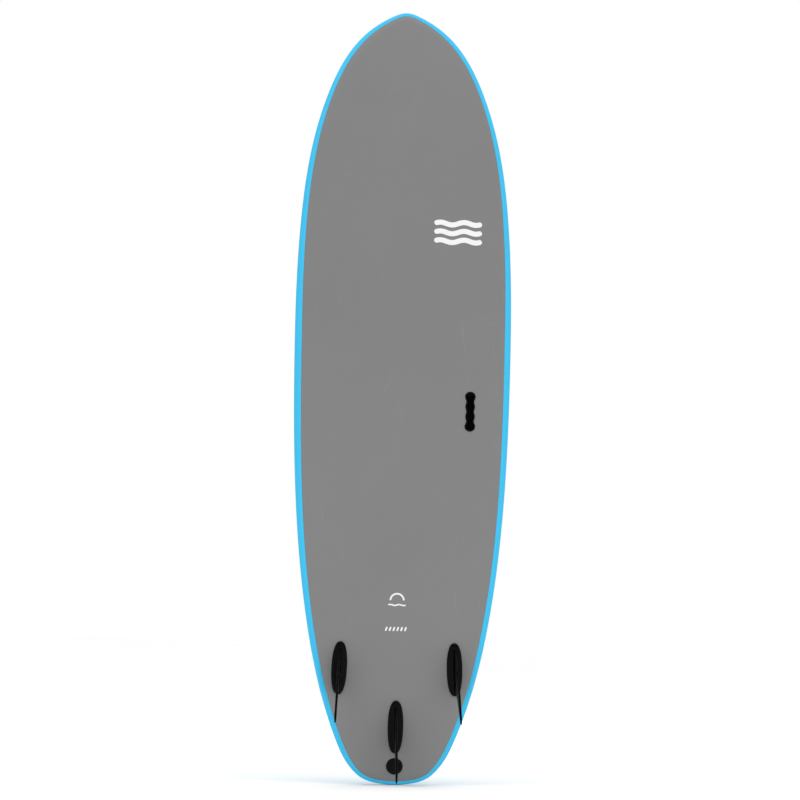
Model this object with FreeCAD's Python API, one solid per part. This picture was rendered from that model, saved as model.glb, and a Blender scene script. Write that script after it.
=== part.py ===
import FreeCAD, Part
import math
import os

from FreeCAD import Placement, Rotation, Vector

# A soft-topped surfboard standing on its tail. +Z runs from tail to nose, the fins and the
# slick bottom face -Y, the deck faces +Y, and +X is the side with the carry handle.
# The origin is the middle of the tail's end. All sizes are in millimetres.

# Board
LENGTH = 2134.0
HALF_WIDTH = 298.0
WIDEST_Z = 1200.0
OUTLINE = [  # height above the tail, half-width
    (2, 31.5), (10, 71.5), (20, 93.0), (40, 116.0), (70, 138.5), (110, 158.5), (200, 192.0),
    (300, 220.5), (450, 250.8), (650, 276.6), (900, 292.8), (WIDEST_Z, HALF_WIDTH), (1400, 295.2),
    (1550, 286.7), (1700, 269.2), (1800, 248.6), (1900, 217.6), (2000, 171.0), (2060, 126.0),
    (2100, 78.4), (2122, 40.0)]
# Control points of the two centre-line profiles: height above the tail, distance from the flat of
# the bottom. The bottom is exactly flat along its middle, and curves up to the tail and nose.
ROCKER = [(-60, 58), (60, 37), (200, 20), (350, 7), (500, 0), (650, 0), (800, 0), (950, 0), (1100, 0),
          (1250, 0), (1400, 5), (1550, 15), (1700, 30), (1850, 53), (2000, 83), (2110, 111), (2220, 141)]
THICKNESS = [34, 45, 56, 66, 75, 80, 84, 86, 87, 86, 83, 78, 71, 62, 51, 43, 36]
FLAT = (650.0, 960.0)  # the stretch of the flat bottom that is clear of the handle
TAIL_MIDDLE = 67.5  # from the flat of the bottom to the middle of the tail's end
CROWN = 26.0  # how far the deck falls from its centre line to the widest point
SIDE = 340.0  # half-width of the blocks that cut the bottom and the deck
BOTTOM_RADII = (8.0, 16.0)  # edge roundness at the tips and at the widest point
DECK_RADII = (22.0, 34.0)

# Layers
RAIL_SKIN = 6.0
DECK_SKIN = 5.0
SLICK = 1.2
BACKING = 2.4
BORDER = [(-1, 9.5), (60, 14.0), (200, 15.0), (600, 15.8), (1000, 17.8), (1230, 18.0), (1500, 15.5),
          (1900, 11.8), (2060, 11.5), (LENGTH + 1, 9.0)]  # height, width of the rail shown round the slick
DECK_SEAM = 36.0
SPLIT_DEPTH = 18.0
STRINGER_X = 75.0
STRINGER_WIDTH = 4.0

# Fins: height above the board, front and rear of the blade from the middle of the base, thickness
BLADE = [(2, 66, -60, 9.0), (12, 56, -61, 7.6), (25, 43, -63, 7.2), (42, 23, -69, 7.0), (60, -3, -80.5, 6.8),
         (80, -35.5, -98.5, 6.6), (98, -74.5, -118.5, 6.4), (110, -106, -133.5, 6.0), (116, -128, -140.8, 5.2)]
BASE_LENGTH = 147.0
BASE_WIDTH = 43.0
BASE_HEIGHT = 8.0
BASE_ROUND = 5.0
SIDE_FIN_X = 159.3
SIDE_FIN_Z = 322.0
CENTER_FIN_Z = 161.0
TOE_IN = 1.9
CANT = 4.8
BOSS_SPACING = 90.0
BOSS_RADIUS = 8.0
BOSS_DEPTH = 22.0

# Screws and their inserts and cups
SCREW_RADIUS = 3.0
HEAD_RADIUS = 5.5
HEAD_HEIGHT = 3.6
INSERT_RADIUS = 4.5
INSERT_LENGTH = 14.0
CLEARANCE = 0.3
CUP_FLANGE = 13.0
CUP_STEM = 8.0
CUP_DEPTH = 14.0
CUP_RECESS = 8.0
PROUD = 0.8

# Leash plug
LEASH_Z = 52.0
LEASH_RADIUS = 23.0
LEASH_DISC = 3.6
LEASH_STEM = 7.0
LEASH_FLANGE = 21.0
LEASH_CUP = 17.5
LEASH_WALL = 2.5
LEASH_DEPTH = 18.0
LEASH_BAR = 2.0
BAR_DEPTH = 6.0

# Handle tray: height from its middle, half-width of the scalloped edge
HANDLE_X = 188.0
HANDLE_Z = 1034.3
HANDLE_EDGE = [(55, 0), (52.6, 8.0), (47.5, 13.0), (41, 14.5), (34, 12.8), (27, 10.5), (20.5, 12.0),
               (13.5, 13.3), (6.5, 12.0), (0, 10.5)]
HANDLE_RIM = 1.6
HANDLE_LIP = 1.6
HANDLE_WALL = 2.0
HANDLE_DEPTH = 28.0

DOCUMENT = FreeCAD.newDocument("board")
INTO = Vector(0, 1, 0)  # from the bottom into the board


def smooth_curve(points, closed=False):
    curve = Part.BSplineCurve()
    curve.interpolate(Points=points, PeriodicFlag=closed)
    return curve


def profile(x, distances):
    """Cubic curve in the plane at x, drawn by its control points, smooth all along."""
    points = [Vector(x, away - TAIL_MIDDLE, height) for (height, _), away in zip(ROCKER, distances)]
    curve = Part.BSplineCurve()
    spans = len(points) - 3
    curve.buildFromPolesMultsKnots(points, [4] + [1] * (spans - 1) + [4], list(range(spans + 1)), False, 3)
    return curve


def bottom_distances(gap=0.0):
    return [away + gap for _, away in ROCKER]


def deck_distances(gap=0.0):
    return [away + thick - gap for (_, away), thick in zip(ROCKER, THICKNESS)]


def between(table, height):
    """Straight-line reading of a table of (height, value)."""
    for (low, first), (high, last) in zip(table, table[1:]):
        if height <= high:
            return first + (last - first) * (height - low) / (high - low)
    return table[-1][1]


def parameter_at(curve, height):
    low, high = curve.FirstParameter, curve.LastParameter
    for _ in range(50):
        middle = (low + high) / 2
        if curve.value(middle).z < height:
            low = middle
        else:
            high = middle
    return low


def outline_points():
    right = [Vector(width, 0, height) for height, width in OUTLINE]
    left = [Vector(-p.x, 0, p.z) for p in reversed(right)]
    return right + [Vector(0, 0, LENGTH)] + left + [Vector(0, 0, 0)]


def inset_curve(curve, points, distance):
    """Closed curve moved inward at each of its points, by distance or by distance(height)."""
    moved = []
    for point in points:
        along = curve.tangent(curve.parameter(point))[0]
        step = distance(point.z) if callable(distance) else distance
        moved.append(point + Vector(-along.z, 0, along.x) * step)
    return smooth_curve(moved, closed=True), moved


def outline_wire(inset=0.0):
    """The board's outline as four edges that meet beside the tips and at the widest points."""
    points = outline_points()
    curve = smooth_curve(points, closed=True)
    if inset:
        curve, points = inset_curve(curve, points, inset)
    corners = [curve.parameter(p) for p in points if abs(p.z - WIDEST_Z) < 1]
    corners.append(curve.parameter(points[len(OUTLINE) - 1]))
    stops = [curve.FirstParameter] + sorted(corners) + [curve.LastParameter]
    return Part.Wire([curve.toShape(start, end) for start, end in zip(stops, stops[1:])])


def bottom_block(gap=0.0, plane=False):
    """Everything below the bottom surface, raised by gap. With plane, its flat stretch is a face of its own."""
    curve = profile(-SIDE, bottom_distances(gap))
    start, end = curve.FirstParameter, curve.LastParameter
    tail, nose = curve.value(start), curve.value(end)
    edges = [curve.toShape()]
    if plane:
        low, high = [parameter_at(curve, height) for height in FLAT]
        straight = Part.LineSegment(curve.value(low), curve.value(high))
        edges = [curve.toShape(start, low), straight.toShape(), curve.toShape(high, end)]
    corners = [nose, Vector(-SIDE, -SIDE, nose.z), Vector(-SIDE, -SIDE, tail.z), tail]
    sides = [Part.LineSegment(a, b).toShape() for a, b in zip(corners, corners[1:])]
    return Part.Face(Part.Wire(edges + sides)).extrude(Vector(2 * SIDE, 0, 0))


def deck_block(gap=0.0):
    """Everything above the crowned deck surface, lowered by gap."""
    curve = profile(0.0, deck_distances(gap))
    fall = CROWN * (SIDE / HALF_WIDTH) ** 2
    rows = [[pole + Vector(side * SIDE, -side * side * 2 * fall + fall, 0) for side in (-1, 0, 1)]
            for pole in curve.getPoles()]
    surface = Part.BSplineSurface()
    surface.buildFromPolesMultsKnots(
        rows, curve.getMultiplicities(), [3, 3], curve.getKnots(), [0, 1], False, False, 3, 2)
    return surface.toShape().extrude(Vector(0, 500, 0))


def prism(wire, low=-SIDE, high=SIDE):
    block = Part.Face(wire).extrude(Vector(0, high - low, 0))
    block.translate(Vector(0, low, 0))
    return block


def rounded(shape, chosen, radii):
    """Rounds the chosen edges, from radii[0] at the tips to radii[1] at the widest point."""
    base = DOCUMENT.addObject("Part::Feature", "base")
    base.Shape = shape
    fillet = DOCUMENT.addObject("Part::Fillet", "fillet")
    fillet.Base = base
    edges = []
    for number, edge in enumerate(shape.Edges, 1):
        if chosen(edge):
            ends = [edge.valueAt(p).z for p in (edge.FirstParameter, edge.LastParameter)]
            edges.append((number, *[radii[abs(z - WIDEST_Z) < 5] for z in ends]))
    fillet.Edges = edges
    DOCUMENT.recompute()
    return fillet.Shape


def runs_along(edge):
    ends = [edge.valueAt(p) for p in (edge.FirstParameter, edge.LastParameter)]
    return abs(ends[1].z - ends[0].z) > 500


def board_body(inset=0.0, bottom_gap=0.0, deck_gap=0.0, smaller=0.0):
    """The board's whole form, or the form inside its skins."""
    body = prism(outline_wire(inset)).cut(bottom_block(bottom_gap)).cut(deck_block(deck_gap))
    body = body.Solids[0]
    flat = bottom_gap - TAIL_MIDDLE

    def is_low(edge):
        return runs_along(edge) and edge.BoundBox.YMin < flat + 5

    def is_high(edge):
        return runs_along(edge) and edge.BoundBox.YMin > flat + 15

    body = rounded(body, is_low, [r - smaller for r in BOTTOM_RADII])
    return rounded(body, is_high, [r - smaller for r in DECK_RADII])


def half_space(side):
    box = Part.makeBox(SIDE, 2 * SIDE, LENGTH + 100)
    box.translate(Vector(0 if side > 0 else -SIDE, -SIDE, -50))
    return box


def slab(x, width):
    box = Part.makeBox(width, 2 * SIDE, LENGTH + 100)
    box.translate(Vector(x - width / 2, -SIDE, -50))
    return box


def board_layers(whole):
    """The foam, wood and plastic layers, before anything is let into them."""
    core = board_body(RAIL_SKIN, SLICK + BACKING, DECK_SKIN, smaller=RAIL_SKIN - 0.5)
    hollow = core.Shells[0].copy()
    hollow.reverse()
    skins = Part.Solid(Part.makeCompound([whole.Shells[0], hollow]))
    middle = bottom_block(SPLIT_DEPTH)
    under_slick = prism(outline_wire(lambda height: between(BORDER, height)))
    under_deck_skin = prism(outline_wire(DECK_SEAM))
    layers = {
        "bottom_slick": under_slick.common(bottom_block(SLICK)).cut(bottom_block(plane=True)),
        "bottom_backing": under_slick.common(bottom_block(SLICK + BACKING)).cut(bottom_block(SLICK)),
        "deck_skin": under_deck_skin.common(deck_block(DECK_SKIN)).cut(deck_block()),
        "core_center": core.common(slab(0, 2 * STRINGER_X - STRINGER_WIDTH)),
    }
    bottom_zone = under_slick.common(middle)
    deck_zone = under_deck_skin.cut(middle)
    for side, name in ((-1, "left"), (1, "right")):
        half = half_space(side)
        layers["rail_" + name] = skins.common(half).cut(bottom_zone).cut(deck_zone)
        layers["stringer_" + name] = core.common(slab(side * STRINGER_X, STRINGER_WIDTH))
        layers["core_" + name] = core.common(half).cut(slab(0, 2 * STRINGER_X + STRINGER_WIDTH))
    return layers


def cylinder(radius, start, end, z=0.0):
    return Part.makeCylinder(radius, end - start, Vector(0, start, z), INTO)


def seat(x, z, toe=0.0):
    """Placement on the bottom surface: local +Y goes into the board and local +Z to the nose."""
    curve = profile(x, bottom_distances())
    at = parameter_at(curve, z)
    along = curve.tangent(at)[0]
    slope = Rotation(Vector(1, 0, 0), -math.degrees(math.atan2(along.y, along.z)))
    return Placement(curve.value(at), slope.multiply(Rotation(INTO, toe)))


def depth_to_deck(place, z=0.0):
    """Distance from the bottom to the deck along local +Y, at local height z."""
    curve = profile(0.0, deck_distances())
    start = place.multVec(Vector(0, 0, z))
    step = place.Rotation.multVec(INTO)
    depth = 0.0
    for _ in range(5):
        point = start + step * depth
        deck = curve.value(parameter_at(curve, point.z)).y - CROWN * (point.x / HALF_WIDTH) ** 2
        depth = (deck - start.y) / step.y
    return depth


def foil(height, front, rear, thickness):
    """Blade section: round in front, blunt behind, across the blade at one height."""
    shares = [(0.0, 0.0), (0.03, 0.5), (0.12, 0.86), (0.32, 1.0), (0.6, 0.97), (0.86, 0.8), (0.97, 0.5)]
    chord = front - rear
    right = [Vector(t * thickness / 2, -height, front - s * chord) for s, t in shares]
    left = [Vector(-p.x, p.y, p.z) for p in reversed(right[1:])]
    return Part.Wire([smooth_curve(right + [Vector(0, -height, rear)] + left, closed=True).toShape()])


def oval_wire(length, width, y):
    """Blunt-ended oval."""
    blunt = 2 / 2.35
    points = []
    for step in range(28):
        angle = 2 * math.pi * step / 28
        c, s = math.cos(angle), math.sin(angle)
        points.append(Vector(
            math.copysign(abs(s) ** blunt, s) * width / 2, y, math.copysign(abs(c) ** blunt, c) * length / 2))
    return Part.Wire([smooth_curve(points, closed=True).toShape()])


def top_edges(shape, y):
    return [e for e in shape.Edges if abs(e.BoundBox.YMin - y) < 0.1 and abs(e.BoundBox.YMax - y) < 0.1]


def make_fin(whole, place, cant):
    """Oval base and raked blade in one moulding, with two bosses that reach into the board."""
    base = Part.Face(oval_wire(BASE_LENGTH, BASE_WIDTH, 3.0)).extrude(-INTO * (3.0 + BASE_HEIGHT))
    base = base.makeFillet(BASE_ROUND, top_edges(base, -BASE_HEIGHT))
    blade = Part.makeLoft([foil(*row) for row in BLADE], True)
    blade.rotate(Vector(), Vector(0, 0, 1), cant)
    fin = base.fuse(blade).removeSplitter()
    fin.Placement = place.multiply(fin.Placement)
    fin = fin.cut(whole)
    fin = max(fin.Solids, key=lambda solid: solid.Volume)
    for z in (-BOSS_SPACING / 2, BOSS_SPACING / 2):
        boss = cylinder(BOSS_RADIUS, -2.0, BOSS_DEPTH, z)
        insert_hole = cylinder(INSERT_RADIUS, BOSS_DEPTH - INSERT_LENGTH, BOSS_DEPTH, z)
        for piece in (boss, insert_hole):
            piece.Placement = place.multiply(piece.Placement)
        fin = fin.fuse(boss).cut(insert_hole)
    return fin.Solids[0]


def make_screw(floor, end):
    """Machine screw along +Y: pan head on the floor, shank down to end, hexagon socket."""
    head = cylinder(HEAD_RADIUS, floor, floor + HEAD_HEIGHT)
    head = head.makeFillet(1.2, top_edges(head, floor + HEAD_HEIGHT))
    corners = [Vector(2 * math.cos(a), 0, 2 * math.sin(a)) for a in [math.pi * n / 3 for n in range(7)]]
    socket = Part.Face(Part.makePolygon(corners)).extrude(INTO * 2.2)
    socket.translate(Vector(0, floor + HEAD_HEIGHT - 2.2 + 0.01, 0))
    return head.fuse(cylinder(SCREW_RADIUS, end, floor)).cut(socket).removeSplitter()


def make_fastener(place, z):
    """Insert, cup and screw on one axis of a fin, and the space that they and the boss fill."""
    deck = depth_to_deck(place, z)
    stem_end = deck - CUP_DEPTH
    floor = deck - CUP_RECESS
    bore = cylinder(INSERT_RADIUS, BOSS_DEPTH - INSERT_LENGTH, BOSS_DEPTH)
    insert = bore.cut(cylinder(SCREW_RADIUS, 0, BOSS_DEPTH + 1))
    outer = cylinder(CUP_FLANGE, deck - 3.0, deck + 6.0).fuse(cylinder(CUP_STEM, stem_end, deck))
    cup = outer.cut(cylinder(CUP_STEM - 1.8, floor, deck + 10)).cut(
        cylinder(SCREW_RADIUS + CLEARANCE, stem_end - 1, floor + 1))
    screw = make_screw(floor, BOSS_DEPTH - INSERT_LENGTH + 1)
    space = cylinder(BOSS_RADIUS, -5, BOSS_DEPTH).fuse(
        cylinder(SCREW_RADIUS + CLEARANCE, BOSS_DEPTH, stem_end)).fuse(outer)
    pieces = [insert, cup, screw, space]
    for piece in pieces:
        piece.translate(Vector(0, 0, z))
        piece.Placement = place.multiply(piece.Placement)
    return pieces


def make_leash_plug(place):
    """Deck cup with a cross bar, screwed to a ringed disc on the bottom."""
    deck = depth_to_deck(place)
    floor = deck - LEASH_DEPTH
    under = floor - LEASH_WALL
    disc = cylinder(LEASH_RADIUS, -LEASH_DISC, 3.0)
    disc = disc.makeFillet(2.0, top_edges(disc, -LEASH_DISC))
    ring = cylinder(15.0, -LEASH_DISC - 1, -LEASH_DISC + 1.4).cut(cylinder(10.5, -LEASH_DISC - 1, 0))
    stem = cylinder(LEASH_STEM, -1.0, under)
    insert_end = under - INSERT_LENGTH
    bore = cylinder(INSERT_RADIUS, insert_end, under)
    insert = bore.cut(cylinder(SCREW_RADIUS, insert_end - 1, under + 1))
    outer = cylinder(LEASH_FLANGE, deck - 3.0, deck + 6.0).fuse(cylinder(LEASH_CUP, under, deck))
    bar = Part.makeCylinder(
        LEASH_BAR, 2 * LEASH_CUP - 2, Vector(1 - LEASH_CUP, deck - BAR_DEPTH, 0), Vector(1, 0, 0))
    hollow = cylinder(LEASH_CUP - LEASH_WALL, floor, deck + 10)
    cup = outer.cut(hollow).cut(bar).cut(cylinder(SCREW_RADIUS + CLEARANCE, under - 1, floor + 1))
    screw = make_screw(floor, insert_end + 1)
    pieces = {"cup": cup, "bar": bar, "insert": insert, "screw": screw}
    space = stem.fuse(outer)
    for piece in [disc, ring, stem, bore, space, *pieces.values()]:
        piece.Placement = place.multiply(piece.Placement)
    return disc, ring, stem, bore, space, pieces


def handle_wire(inset, y):
    edge = [Vector(w, y, z) for z, w in HANDLE_EDGE]
    lower = [Vector(p.x, y, -p.z) for p in reversed(edge[:-1])]
    left = [Vector(-p.x, y, -p.z) for p in edge[1:] + lower[:-1]]
    points = edge + lower + left
    curve = smooth_curve(points, closed=True)
    if inset:
        curve, _ = inset_curve(curve, points, -inset)
    return Part.Wire([curve.toShape()])


def make_handle():
    """Scalloped finger tray with a thin rounded rim on the slick."""
    flat = -TAIL_MIDDLE
    rim = Part.Face(handle_wire(0, flat)).extrude(-INTO * HANDLE_LIP)
    rim = rim.makeFillet(1.0, top_edges(rim, flat - HANDLE_LIP))
    outer = Part.Face(handle_wire(HANDLE_RIM, flat)).extrude(INTO * (HANDLE_DEPTH + HANDLE_WALL))
    hollow = Part.Face(handle_wire(HANDLE_RIM + HANDLE_WALL, flat - 5)).extrude(INTO * (HANDLE_DEPTH + 5))
    tray = rim.fuse(outer).cut(hollow).removeSplitter()
    space = Part.Face(handle_wire(HANDLE_RIM, flat - 5)).extrude(INTO * (HANDLE_DEPTH + HANDLE_WALL + 5))
    for piece in (tray, space):
        piece.translate(Vector(HANDLE_X, 0, HANDLE_Z))
    return tray, space


def build():
    whole = board_body()
    layers = board_layers(whole)
    above_deck = deck_block(-PROUD)
    pieces = {}
    spaces = []

    seats = {
        "left": (seat(-SIDE_FIN_X, SIDE_FIN_Z, TOE_IN), -CANT),
        "right": (seat(SIDE_FIN_X, SIDE_FIN_Z, -TOE_IN), CANT),
        "center": (seat(0, CENTER_FIN_Z), 0.0),
    }
    for fin, (place, cant) in seats.items():
        pieces["fin_" + fin] = make_fin(whole, place, cant)
        for end, z in (("rear", -BOSS_SPACING / 2), ("front", BOSS_SPACING / 2)):
            insert, cup, screw, space = make_fastener(place, z)
            pieces[f"fin_insert_{fin}_{end}"] = insert
            pieces[f"screw_cup_{fin}_{end}"] = cup.cut(above_deck)
            pieces[f"fin_screw_{fin}_{end}"] = screw
            spaces.append(space)

    disc, ring, stem, bore, space, plug = make_leash_plug(seat(0, LEASH_Z))
    pieces["leash_disc"] = disc.cut(whole).fuse(stem).cut(ring).cut(bore)
    pieces["leash_cup"] = plug["cup"].cut(above_deck)
    pieces["leash_bar"] = plug["bar"]
    pieces["leash_insert"] = plug["insert"]
    pieces["leash_screw"] = plug["screw"]
    spaces.append(space)

    pieces["handle_tray"], space = make_handle()
    spaces.append(space)

    for name, layer in layers.items():
        pieces[name] = layer if name.startswith("rail") else layer.cut(spaces)
    return pieces


os.makedirs("parts", exist_ok=True)
for name, shape in build().items():
    solid = max(shape.Solids, key=lambda piece: piece.Volume)
    print(name, solid.isValid(), len(shape.Solids), round(solid.Volume / 1e3, 2), "cm3")
    solid.exportStep(f"parts/{name}.step")
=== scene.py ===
import math

import bmesh
import bpy
import numpy as np
from bpy.props import FloatProperty, FloatVectorProperty, IntProperty, PointerProperty
from mathutils import Matrix, Vector


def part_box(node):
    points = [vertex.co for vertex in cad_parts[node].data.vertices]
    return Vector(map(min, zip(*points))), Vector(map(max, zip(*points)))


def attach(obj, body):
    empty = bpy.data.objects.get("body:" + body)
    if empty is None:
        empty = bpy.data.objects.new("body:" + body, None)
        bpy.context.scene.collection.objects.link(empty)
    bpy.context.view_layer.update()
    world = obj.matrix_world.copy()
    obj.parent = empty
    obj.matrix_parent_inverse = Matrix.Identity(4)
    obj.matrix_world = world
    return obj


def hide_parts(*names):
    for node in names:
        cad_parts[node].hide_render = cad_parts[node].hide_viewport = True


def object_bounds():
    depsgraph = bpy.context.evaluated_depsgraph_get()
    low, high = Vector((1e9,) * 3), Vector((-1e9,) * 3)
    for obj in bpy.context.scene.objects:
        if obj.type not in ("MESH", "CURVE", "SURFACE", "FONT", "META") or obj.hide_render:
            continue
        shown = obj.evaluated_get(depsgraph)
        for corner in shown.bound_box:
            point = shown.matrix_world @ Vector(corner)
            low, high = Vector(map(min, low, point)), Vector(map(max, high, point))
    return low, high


bl_info = {
    "name": "Soft-topped surfboard",
    "version": (1, 0, 0),
    "blender": (4, 5, 0),
    "location": "3D View > Sidebar > Surfboard",
    "description": "Builds the visible pieces of a soft-topped surfboard round its CAD frame",
    "category": "Object",
}

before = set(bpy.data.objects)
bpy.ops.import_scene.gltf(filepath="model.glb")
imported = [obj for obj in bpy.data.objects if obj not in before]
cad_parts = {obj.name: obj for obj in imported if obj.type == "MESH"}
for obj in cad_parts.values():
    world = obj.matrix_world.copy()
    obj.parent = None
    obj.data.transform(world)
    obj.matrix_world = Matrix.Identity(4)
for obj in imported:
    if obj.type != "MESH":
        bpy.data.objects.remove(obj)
CAD_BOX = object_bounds()

MM = 0.001
FIT = 2.5 * MM  # most that a piece's box may differ from its CAD part's

# The board's form, in millimetres as in the CAD source: +Z to the nose, the bottom faces -Y.
LENGTH = 2134.0
HALF_WIDTH = 298.0
WIDEST_Z = 1200.0
OUTLINE = [  # height above the tail, half-width
    (2, 31.5), (10, 71.5), (20, 93.0), (40, 116.0), (70, 138.5), (110, 158.5), (200, 192.0),
    (300, 220.5), (450, 250.8), (650, 276.6), (900, 292.8), (WIDEST_Z, HALF_WIDTH), (1400, 295.2),
    (1550, 286.7), (1700, 269.2), (1800, 248.6), (1900, 217.6), (2000, 171.0), (2060, 126.0),
    (2100, 78.4), (2122, 40.0)]
ROCKER = [  # control points: height above the tail, rise of the bottom over its flat
    (-60, 58), (60, 37), (200, 20), (350, 7), (500, 0), (650, 0), (800, 0), (950, 0),
    (1100, 0), (1250, 0), (1400, 5), (1550, 15), (1700, 30), (1850, 53), (2000, 83), (2110, 111),
    (2220, 141)]
THICKNESS = [  # of the board at each of those heights
    34, 45, 56, 66, 75, 80, 84, 86, 87, 86, 83, 78, 71, 62, 51, 43, 36]
TAIL_MIDDLE = 67.5  # from the flat of the bottom to the middle of the tail's end
CROWN = 26.0  # how far the deck falls from its centre line to the widest point
BOTTOM_RADII = (8.0, 16.0)  # of the edge's rounds, at the ends and at the widest point
DECK_RADII = (22.0, 34.0)
BORDER = [  # height above the tail, width of the blue border round the slick
    (-1, 9.5), (60, 14.0), (200, 15.0), (600, 15.8), (1000, 17.8), (1230, 18.0), (1500, 15.5),
    (1900, 11.8), (2060, 11.5), (LENGTH + 1, 9.0)]

# Fins: height above the board, front and rear of the blade from the middle of the base, thickness
BLADE = [(13, 55.5, -61, 7.6), (25, 43, -63, 7.2), (42, 23, -69, 7.0), (60, -3, -80.5, 6.8),
         (80, -35.5, -98.5, 6.6), (98, -74.5, -118.5, 6.4), (108, -100.5, -130.5, 6.2),
         (113.2, -116.5, -137, 6.0), (115.6, -127, -139.8, 5.0)]
SIDE_FIN_X = 159.3
SIDE_FIN_Z = 322.0
CENTER_FIN_Z = 161.0
BOSS_SPACING = 90.0

# Screws, their inserts and clearance holes
INSERT_RADIUS = 4.5
INSERT_LENGTH = 14.0
CLEARANCE = 0.3
SCREW_RADIUS = 3.0
FLANGE_DEPTH = 3.0  # of the cups' flanges in the deck
PLAY = 0.05  # between an opening and what goes through it

# Leash plug
LEASH_Z = 52.0
LEASH_CUP = 17.5
LEASH_WALL = 2.5
LEASH_STEM = 7.0
BAR_DEPTH = 6.0

# Handle tray: height from its middle, half-width of the scalloped edge
HANDLE_X = 188.0
HANDLE_Z = 1034.3
HANDLE_EDGE = [(55, 0), (52.6, 8.0), (47.5, 13.0), (41, 14.5), (34, 12.8), (27, 10.5), (20.5, 12.0),
               (13.5, 13.3), (6.5, 12.0), (0, 10.5)]

RIDGE_X = 2.6  # of the two ridges on the tray's floor, from its middle line
RIDGE_HALF = 1.1
RIDGE_END = 40.0
RIDGE_FADE = 8.0
TRAY_ROUND = 1.8  # between the tray's wall and floor

# Prints, over and under the slick's face
INK_HEIGHT = 0.12
INK_SINK = 0.05
WAVE_SPAN = (80.7, 212.2)
WAVE_HEIGHTS = (1503.2, 1527.5, 1551.8)
SUN_X = -3.5
SUN_Z = 510.5
SUN_RADIUS = 18.5
DASH_SPAN = (-31.8, 21.2)
DASH_HEIGHTS = (426.0, 437.6)
DASH_SLANT = 2.0

# What the camera looks at, from the board's middle
AIM_X = -2.0
AIM_Z = -4.2


# ---------------------------------------------------------------- curves and surfaces


class Spline:
    """Smooth curve through points, measured along by the straight distances between them."""

    def __init__(self, points, closed=False):
        self.points = np.array(points, float)
        if closed:
            self.points = np.vstack([self.points, self.points[:1]])
        gaps = np.linalg.norm(np.diff(self.points, axis=0), axis=1)
        self.stops = np.concatenate([[0.0], np.cumsum(gaps)])
        count = len(gaps) + (0 if closed else 1)
        rates = np.diff(self.points, axis=0) / gaps[:, None]
        matrix = np.zeros((count, count))
        right = np.zeros((count, self.points.shape[1]))
        for i in range(count):
            if not closed and i in (0, count - 1):
                near = 1 if i == 0 else i - 1
                matrix[i, i], matrix[i, near] = 2.0, 1.0
                right[i] = 3 * rates[0 if i == 0 else -1]
                continue
            before, after = gaps[i - 1], gaps[i]
            matrix[i, i - 1] += after
            matrix[i, i] += 2 * (before + after)
            matrix[i, (i + 1) % count] += before
            right[i] = 3 * (after * rates[i - 1] + before * rates[i])
        slopes = np.linalg.solve(matrix, right)
        self.slopes = np.vstack([slopes, slopes[:1]]) if closed else slopes
        self.end = self.stops[-1]

    def read(self, at):
        """Points and directions at these distances."""
        at = np.atleast_1d(np.asarray(at, float))
        i = np.clip(np.searchsorted(self.stops, at, side="right") - 1, 0, len(self.stops) - 2)
        gap = (self.stops[i + 1] - self.stops[i])[:, None]
        t = (at - self.stops[i])[:, None] / gap
        a, b = self.points[i], self.points[i + 1]
        u, v = self.slopes[i] * gap, self.slopes[i + 1] * gap
        place = a + t * u + t**2 * (3 * (b - a) - 2 * u - v) + t**3 * (2 * (a - b) + u + v)
        move = (u + 2 * t * (3 * (b - a) - 2 * u - v) + 3 * t**2 * (2 * (a - b) + u + v)) / gap
        return place, move / np.linalg.norm(move, axis=1)[:, None]


def control_curve(points, count=1800):
    """Clamped, evenly knotted cubic curve drawn by its control points."""
    points = np.array(points, float)
    spans = len(points) - 3
    knots = np.concatenate([[0] * 3, np.arange(spans + 1), [spans] * 3]).astype(float)
    at = np.linspace(0, spans, count)
    span = np.minimum(at.astype(int), spans - 1) + 3
    work = [points[span - 3 + k].copy() for k in range(4)]
    for level in range(1, 4):
        for k in range(3, level - 1, -1):
            low = knots[span - 3 + k]
            high = knots[span + 1 + k - level]
            share = ((at - low) / (high - low))[:, None]
            work[k] = (1 - share) * work[k - 1] + share * work[k]
    return work[3]


BOTTOM_LINE = control_curve([(z, y - TAIL_MIDDLE) for z, y in ROCKER])
DECK_LINE = control_curve([(z, y + t - TAIL_MIDDLE) for (z, y), t in zip(ROCKER, THICKNESS)])


def bottom_y(z):
    return np.interp(z, BOTTOM_LINE[:, 0], BOTTOM_LINE[:, 1])


def deck_y(x, z):
    return np.interp(z, DECK_LINE[:, 0], DECK_LINE[:, 1]) - CROWN * (np.asarray(x) / HALF_WIDTH) ** 2


def slope_at(line, z):
    return (np.interp(z + 1, line[:, 0], line[:, 1]) - np.interp(z - 1, line[:, 0], line[:, 1])) / 2


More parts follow.
